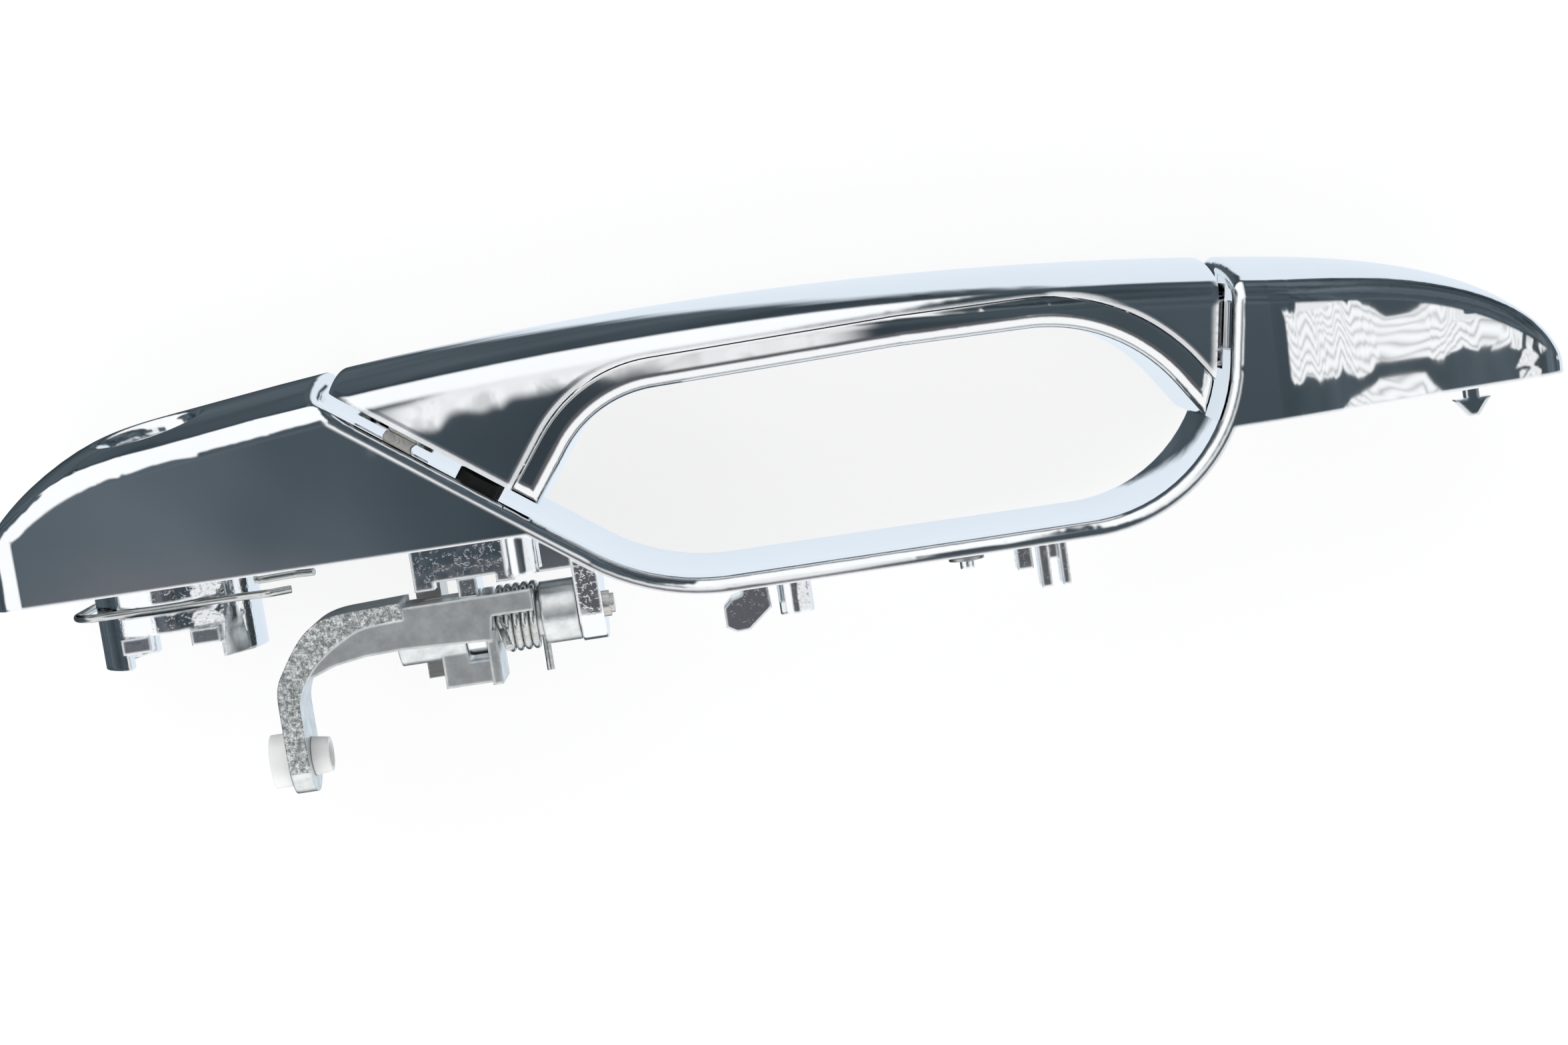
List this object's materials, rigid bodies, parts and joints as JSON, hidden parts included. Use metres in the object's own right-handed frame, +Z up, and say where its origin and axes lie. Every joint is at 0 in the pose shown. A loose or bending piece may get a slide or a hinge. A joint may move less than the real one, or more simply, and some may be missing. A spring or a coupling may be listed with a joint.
{
  "type": "car door handle",
  "caption": "Chrome outside door handle: a hinged pull strap over a finger dish, a keyed end block and a sprung bell crank that works the latch rod.",
  "frame": {"origin": "on the lock bore's axis, in the plane of the door skin", "axes": "+X along the handle towards its key end, -Y outwards from the door, +Z up when fitted"},
  "size_m": [0.246, 0.0659, 0.0358],
  "materials": {
    "chrome_casting": "polished chrome on a zinc die casting, pitted inside",
    "chrome_plate": "polished chrome",
    "chrome_grip": "polished chrome",
    "zinc_casting": "cast zinc, speckled on its edges",
    "zinc_plated_steel": "zinc plated",
    "screw_steel": "zinc plated",
    "spring_wire": "drawn wire",
    "spring_steel": "bare",
    "white_plastic": "translucent white",
    "black_rubber": "matte"
  },
  "bodies": {
    "base": {"base_frame": "chrome_casting", "lock_retainer_clip": "spring_wire", "crank_pin": "zinc_plated_steel", "crank_spring": "spring_wire", "strap_pivot_pin": "zinc_plated_steel", "pivot_retainer": "zinc_plated_steel", "retainer_screws": "screw_steel", "push_nut": "spring_steel", "strap_bumpers": "black_rubber"},
    "strap": {"strap_shell": "chrome_plate", "strap_carrier": "chrome_grip", "strap_leg": "zinc_plated_steel", "strap_screws": "screw_steel", "pivot_bushes": "white_plastic"},
    "crank": {"bell_crank": "zinc_casting", "rod_bush": "white_plastic"}
  },
  "joints": [
    {"name": "strap_hinge", "type": "hinge", "parent": "base", "child": "strap", "pos_m": [-0.175, -0.0154, 0], "axis": [0, 0, -1], "range_deg": [0, 7]},
    {"name": "crank_turn", "type": "hinge", "parent": "base", "child": "crank", "pos_m": [-0.048, 0.0132, 0.007], "axis": [-1, 0, 0], "range_deg": [0, 51.2], "deforming": ["crank_spring"]}
  ],
  "couplings": [
    {"joint": "crank_turn", "follows": "strap_hinge", "ratio": 7.31}
  ]
}
